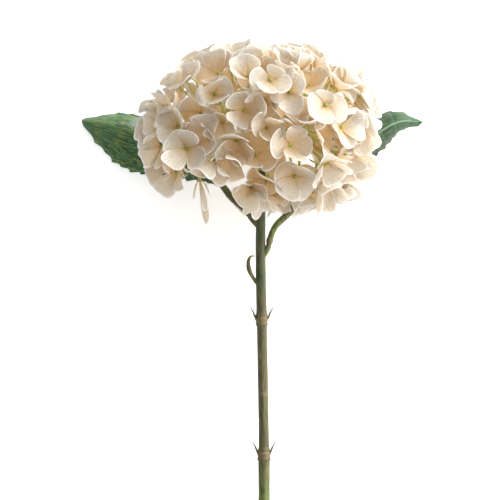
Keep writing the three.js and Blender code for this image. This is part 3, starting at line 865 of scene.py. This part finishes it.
def cut_rings(foot):
    """Rings across the cut face, from just inside the stem's foot ring to its hollow middle."""
    centre = foot.mean(axis=0)
    dip = unit((math.sin(CUT_SLANT), 0, math.cos(CUT_SLANT)))
    return [foot * share + centre * (1 - share) + dip * depth for share, depth in CUT_RINGS]


def add_scales(stem, line):
    """A pointed scale leaf on each side of each node. SCALE_LINE runs from the stem's middle."""
    u = np.linspace(0, 1, 19)
    spike = 1.55 * (1 - u) ** 0.7 + 0.12
    scar = np.repeat(0.75 * (1 - u), SCALE_SIDES)
    for node in NODE_HEIGHTS:
        x = np.interp(node, line[:, 2], line[:, 0])
        for side in (-1, 1):
            middle = [(x + side * out, front, node + up) for out, front, up in SCALE_LINE]
            points, faces = tube(smooth_line(middle, 18), spike, SCALE_SIDES, flat=0.62)
            stem.add(points, faces, height=SCALE_TONE, scar=scar, cut=0)


def build_stem():
    line = smooth_line(STEM_POINTS, STEM_RINGS)
    turn = 2 * np.pi * np.arange(STEM_SIDES) / STEM_SIDES
    h, t = np.meshgrid(line[:, 2], turn, indexing="ij")
    radius = stem_radius(h) + STEM_SKIN
    radius += 0.07 * np.sin(5 * t + 0.02 * h) + 0.05 * np.sin(3 * t - 0.035 * h + 1)
    radius += 0.06 * np.sin(0.21 * h + 2 * t) * np.sin(0.083 * h)
    scar = np.zeros_like(h)
    for place, towards, tall, wide in SCARS:
        gap = (t - towards + np.pi) % (2 * np.pi) - np.pi
        scar = np.maximum(scar, np.exp(-(((h - place) / tall) ** 2 + (gap / wide) ** 2)))
    radius += 0.3 * scar
    for node in NODE_HEIGHTS:
        scar = np.maximum(scar, 0.75 * np.exp(-(((h - node) / 3.2) ** 2)))
    points, faces = tube(line, radius, STEM_SIDES)
    slanted = STEM_FOOT_RADIUS - (points[:, 0] - STEM_POINTS[0][0]) * math.tan(CUT_SLANT)
    blend = np.clip(points[:, 2] / CUT_BLEND, 0, 1)
    points[:, 2] = np.where(blend < 1, slanted * (1 - blend) + points[:, 2] * blend, points[:, 2])
    rings = cut_rings(points[:STEM_SIDES])
    count, extra = len(points), len(rings) * STEM_SIDES
    first = [0] + [count + k * STEM_SIDES for k in range(len(rings))]
    loops = [range(start, start + STEM_SIDES) for start in first]
    faces = faces[:-2]
    for outer, inner in zip(loops, loops[1:]):
        for k in range(STEM_SIDES):
            n = (k + 1) % STEM_SIDES
            faces.append((outer[n], outer[k], inner[k], inner[n]))
    faces.append(tuple(loops[-1])[::-1])
    faces.append(tuple(range(count - STEM_SIDES, count)))
    stem = Shape()
    stem.add(
        np.vstack([points, *rings]),
        faces,
        height=np.concatenate((h.ravel() / STEM_TOP[2], np.zeros(extra))),
        scar=np.concatenate((scar.ravel(), np.zeros(extra))),
        cut=np.repeat((0.0, 1.0), (count, extra)),
    )
    add_scales(stem, line)
    stem.piece("stem_detail", STEM, "stem", "stem")


build_stem()


def build_shoot():
    base = SHOOT_HEIGHT
    line = smooth_line(
        [
            (-0.5, 0, base - 2), (-4.4, 0, base + 2), (-8, -0.6, base + 8),
            (-9, -1.4, base + 14.5), (-7.4, -1.8, base + 18), (-4.6, -1.8, base + 18.4),
        ],
        48,
    )  # fmt: skip
    sides = 14
    u = np.linspace(0, 1, len(line))
    radii = np.interp(u, (0, 0.15, 0.3, 0.55, 0.8, 1), (1.7, 1.75, 1.4, 1.95, 1.3, 0.3))
    radii = radii + 0.35 * np.exp(-(((u - 0.2) / 0.03) ** 2))
    points, faces = tube(line, radii, sides, flat=0.8)
    shoot = Shape()
    shoot.add(points, faces, height=np.repeat(u, sides))
    shoot.piece("side_shoot_detail", SHOOT, "shoot", "side_shoot")


build_shoot()

# ---------------------------------------------------------------- leaves
LEAF_THICKNESS = 0.45
TOOTH = 1.9
TEETH = 13
TOOTH_RISE, TOOTH_FALL = 0.82, 0.18  # shares of a tooth's length
STEPS_PER_TOOTH = 7
HALF_COLUMNS = 14
SIDE_VEINS = 8


def resampled(values, u):
    """The values along an evenly spaced line, at the shares u of its length."""
    last = len(values) - 1
    return np.stack([np.interp(u * last, np.arange(last + 1), v) for v in values.T], axis=1)


def leaf_reach(uu, vv, width, plain):
    """How far the blade's points lie from its midrib, with an uneven toothed edge."""
    share = np.abs(vv)
    phase = (uu * TEETH) % 1
    saw = np.where(phase < TOOTH_RISE, (phase / TOOTH_RISE) ** 1.4, (1 - phase) / TOOTH_FALL)
    uneven = 1 + 0.35 * np.sin(9.7 * np.floor(uu * TEETH) + 2 * np.sign(vv))
    tooth = TOOTH * (1 + 0.4 * plain) * saw * uneven
    tooth = tooth * smoothstep(0.75, 1, share) * smoothstep(0.02, 0.12, uu)
    outline = 5.93 * uu**1.7 * (1 - uu) + 0.12 * (1 - uu)
    return width / 2 * outline * share + tooth


def leaf_relief(uu, vv):
    """How much the blade swells between its veins, and where its side veins and its rib are."""
    share = np.abs(vv)
    lateral = np.sin(2 * np.pi * SIDE_VEINS * (uu - 0.2 * share**0.8 * (1 - uu)))
    vein = smoothstep(0.9, 1.0, lateral) * smoothstep(1.0, 0.8, share) * smoothstep(0.03, 0.1, uu)
    rib = smoothstep(0.055, 0.0, share)
    swell = 0.35 * np.sqrt(np.clip(1 - lateral**2, 0, 1)) * np.sin(np.pi * share)
    swell = swell * smoothstep(1, 0.7, uu)
    swell -= 0.35 * vein + 0.5 * rib
    swell += 0.6 * np.sin(9 * uu + 2 * vv) * share**2
    return swell, vein, rib


def leaf_blade(shape, midrib, width, fold_left, fold_right, plain):
    """A blade on both sides of its midrib, which is folded down by these angles in degrees. plain is
    1 for the darker leaf with few threads and larger teeth, and 0 for the other."""
    line = smooth_line(midrib, 400)
    u = np.linspace(0.004, 0.996, TEETH * STEPS_PER_TOOTH + 1)
    centre, tangent = resampled(line, u), unit(resampled(tangents(line), u))
    across = unit(np.cross(tangent, (0, 1, 0)))
    down = unit(np.cross(tangent, across))
    down *= np.where(down[:, 1:2] < 0, -1, 1)
    v = np.linspace(-1, 1, 2 * HALF_COLUMNS + 1)
    uu, vv = np.meshgrid(u, v, indexing="ij")
    reach = leaf_reach(uu, vv, width, plain)
    fold = np.radians(np.where(vv > 0, fold_right, fold_left)) * (0.75 + 0.35 * np.abs(vv))
    points = centre[:, None] + across[:, None] * (np.sign(vv) * reach * np.cos(fold))[..., None]
    points = points + down[:, None] * (reach * np.sin(fold))[..., None]
    grid_normal = unit(np.cross(np.gradient(points, axis=0), np.gradient(points, axis=1)))
    toward_front = np.where(grid_normal[..., 1:2] < 0, 1, -1)
    normal = grid_normal * toward_front
    swell, vein, rib = leaf_relief(uu, vv)
    points = pressed(points + normal * swell[..., None])
    half = LEAF_THICKNESS / 2
    rows, columns = uu.shape
    upper = (points + normal * half).reshape(-1, 3)
    lower = (points - normal * half).reshape(-1, 3)
    count = rows * columns
    flip = toward_front.mean() < 0
    top = grid_faces(rows, columns)
    if flip:
        top = [face[::-1] for face in top]
    faces = top + [tuple(count + i for i in face[::-1]) for face in top]
    index = np.arange(count).reshape(rows, columns)
    outline = [*index[0, :-1], *index[:-1, -1], *index[-1, :0:-1], *index[:0:-1, 0]]
    for a, b in zip(outline, outline[1:] + outline[:1]):
        faces.append((b, a, count + a, count + b) if not flip else (a, b, count + b, count + a))
    # painted sheen: a strip on the left half of the left leaf, in the middle of its length
    crest = (1 - plain) * smoothstep(-0.12, -0.3, vv)
    crest = crest * smoothstep(0.25, 0.4, uu) * smoothstep(0.74, 0.66, uu)
    vein = np.maximum(vein * (0.25 + 0.2 * plain), rib)
    flat = {"along": uu, "across": vv, "vein": vein, "crest": 0.8 * crest}
    marks = {name: np.tile(values.ravel(), 2) for name, values in flat.items()}
    under = np.repeat((0.0, 1.0), count)
    shape.add(np.vstack((upper, lower)), faces, under=under, plain=plain, **marks)


def petiole(name, line, joint):
    """A leaf's stalk with a ring at the share joint of its length, with painted shade that makes it
    browner and darker on its left and below, away from the light.
    """
    u = np.linspace(0, 1, len(line))
    radii = PETIOLE_RADIUS * (1 + 0.18 * np.exp(-(((u - 0.45) / 0.12) ** 2)))
    radii = np.where(u < 0.6, radii, radii + (0.45 - radii) * smoothstep(0.55, 1, u))
    ring = np.exp(-(((u - joint) / 0.018) ** 2))
    radii = radii + 0.35 * ring - 0.3 * np.exp(-(((u - joint + 0.03) / 0.015) ** 2))
    sides = 14
    points, faces = tube(line, radii, sides)
    outward = unit(points.reshape(-1, sides, 3) - line[:, None])
    # painted shade: the side to the left and below, away from the light, is painted browner and darker
    shaded = smoothstep(-0.1, 0.7, outward @ unit((-1, 0.2, -0.6)))
    scar = np.maximum(ring[:, None] * 0.9, 0.55 * shaded)
    stalk = Shape()
    stalk.add(points, faces, height=0.5 * shaded.ravel() + 0.1, scar=scar.ravel(), cut=0)
    stalk.piece(name + "_petiole", STEM, "stem")


def build_leaf(name, stalk, midrib, width, fold_left, fold_right, joint, plain):
    blade = Shape()
    leaf_blade(blade, midrib, width, fold_left, fold_right, plain)
    blade.piece(name + "_blade", LEAF, "leaf", name)
    petiole(name, smooth_line([*stalk, midrib[0], midrib[1]], 70), joint)


def raised(height, *points):
    return [(x, y, z + height) for x, y, z in points]


build_leaf(
    "leaf_left",
    raised(LEFT_PETIOLE_HEIGHT, (0, 0, -3), (-5, 1, 2), (-11, 4, 9.5), (-20, 9, 18)),
    raised(
        LEFT_PETIOLE_HEIGHT,
        (-28.5, 16, 28.5), (-50, 31, 43), (-73, 41, 57), (-98, 47, 66.5), (-123.5, 56, 71.5),
    ),
    width=48, fold_left=52, fold_right=18, joint=0.2, plain=0,
)  # fmt: skip
build_leaf(
    "leaf_right",
    raised(RIGHT_PETIOLE_HEIGHT, (0, 0, -3), (4, 0, 4), (5.8, 2, 11), (9, 6, 18), (16, 12, 25)),
    raised(
        RIGHT_PETIOLE_HEIGHT,
        (30, 22, 40), (48, 31, 57), (69, 38, 74), (92, 44, 89), (110, 53, 90),
    ),
    width=37, fold_left=52, fold_right=50, joint=0.15, plain=1,
)  # fmt: skip

# ---------------------------------------------------------------- floor, light and camera
VIEW_WIDTH = 330.5  # of what the camera sees at the middle of the view
VIEW_CENTRE = np.array((-7.9, 0.0, 210.3))
VIEW_DISTANCE = 1600.0
TABLE_REACH = 6.0  # from its middle to its edge, in metres
TABLE_DROP = 0.0003
TABLE_GLOW = 0.48
WHITE = (1, 1, 1, 1)
LAMP_WHITE = (1.0, 0.98, 0.95)
LIGHT_FROM = (0.88, 0.47, 0)  # the side where the surround is brightest


def floor():
    """A table like white paper, which glows so that it looks as white as the surround."""
    mesh = bpy.data.meshes.new("floor")
    corners = ((-1, -1, 0), (1, -1, 0), (1, 1, 0), (-1, 1, 0))
    mesh.from_pydata([[TABLE_REACH * c for c in corner] for corner in corners], [], [(0, 1, 2, 3)])
    obj = bpy.data.objects.new("floor", mesh)
    obj.location.z = -TABLE_DROP
    bpy.context.collection.objects.link(obj)
    s = Shader("paper")
    place = s.node("TexCoord").outputs["Object"]
    colour = s.ramp(s.noise(place, 3), (0.3, 0.9), (0.7, 0.93))
    shader = s.node("BsdfPrincipled", {"Base Color": colour, "Roughness": 0.9})
    shader.inputs["Emission Color"].default_value = WHITE
    shader.inputs["Emission Strength"].default_value = TABLE_GLOW
    s.tree.links.new(shader.outputs[0], s.output.inputs["Surface"])
    mesh.materials.append(s.material)


def look_from(place, target, up=UP):
    """The matrix of a lamp or camera at place that faces target, both in the row's frame."""
    back = unit(np.asarray(place) - target)
    right = unit(np.cross(up, back))
    turn = np.stack((right, np.cross(back, right), back), axis=1)
    matrix = np.eye(4)
    matrix[:3, :3] = turn
    matrix[:3, 3] = place
    return Matrix(matrix.tolist())


def lamp(name, place, size, power, colour):
    light = bpy.data.lights.new(name, "AREA")
    light.shape = "DISK"
    light.size = size
    light.energy = power
    light.color = colour
    obj = bpy.data.objects.new(name, light)
    obj.matrix_world = look_from(to_row(place), to_row(HEAD_CENTRE))
    bpy.context.collection.objects.link(obj)


floor()
lamp("key", (780, -180, 880), size=0.7, power=11.8, colour=LAMP_WHITE)
lamp("side", (1000, -350, 280), size=1.3, power=9.5, colour=LAMP_WHITE)
lamp("fill", (-900, -900, 300), size=0.9, power=0.2, colour=(0.93, 0.96, 1.0))


def studio(dark, bright):
    """A surround whose light grows towards the upper right of the picture. It is seen as white."""
    world = bpy.data.worlds.new("studio")
    world.use_nodes = True
    tree = world.node_tree
    place = tree.nodes.new("ShaderNodeTexCoord").outputs["Generated"]
    towards = tree.nodes.new("ShaderNodeVectorMath")
    towards.operation = "DOT_PRODUCT"
    towards.inputs[1].default_value = LIGHT_FROM
    strength = tree.nodes.new("ShaderNodeMapRange")
    for name, value in (("From Min", -1), ("From Max", 1), ("To Min", dark), ("To Max", bright)):
        strength.inputs[name].default_value = value
    background = tree.nodes["Background"]
    background.inputs["Color"].default_value = WHITE
    tree.links.new(place, towards.inputs[0])
    tree.links.new(towards.outputs["Value"], strength.inputs["Value"])
    seen = tree.nodes.new("ShaderNodeLightPath").outputs["Is Camera Ray"]
    lit = tree.nodes.new("ShaderNodeMath")
    lit.operation = "MAXIMUM"
    tree.links.new(strength.outputs[0], lit.inputs[0])
    tree.links.new(seen, lit.inputs[1])
    tree.links.new(lit.outputs[0], background.inputs["Strength"])
    bpy.context.scene.world = world


studio(dark=0.0, bright=1.6)
bpy.context.scene.view_settings.view_transform = "Standard"

camera = bpy.data.cameras.new("camera")
camera.sensor_width = 36.0
camera.lens = camera.sensor_width * VIEW_DISTANCE / VIEW_WIDTH
camera.clip_end = 50.0
camera_object = bpy.data.objects.new("camera", camera)
target = to_row(VIEW_CENTRE)
camera_object.matrix_world = look_from(target + FRONT * VIEW_DISTANCE * MM, target)
bpy.context.collection.objects.link(camera_object)
bpy.context.scene.camera = camera_object
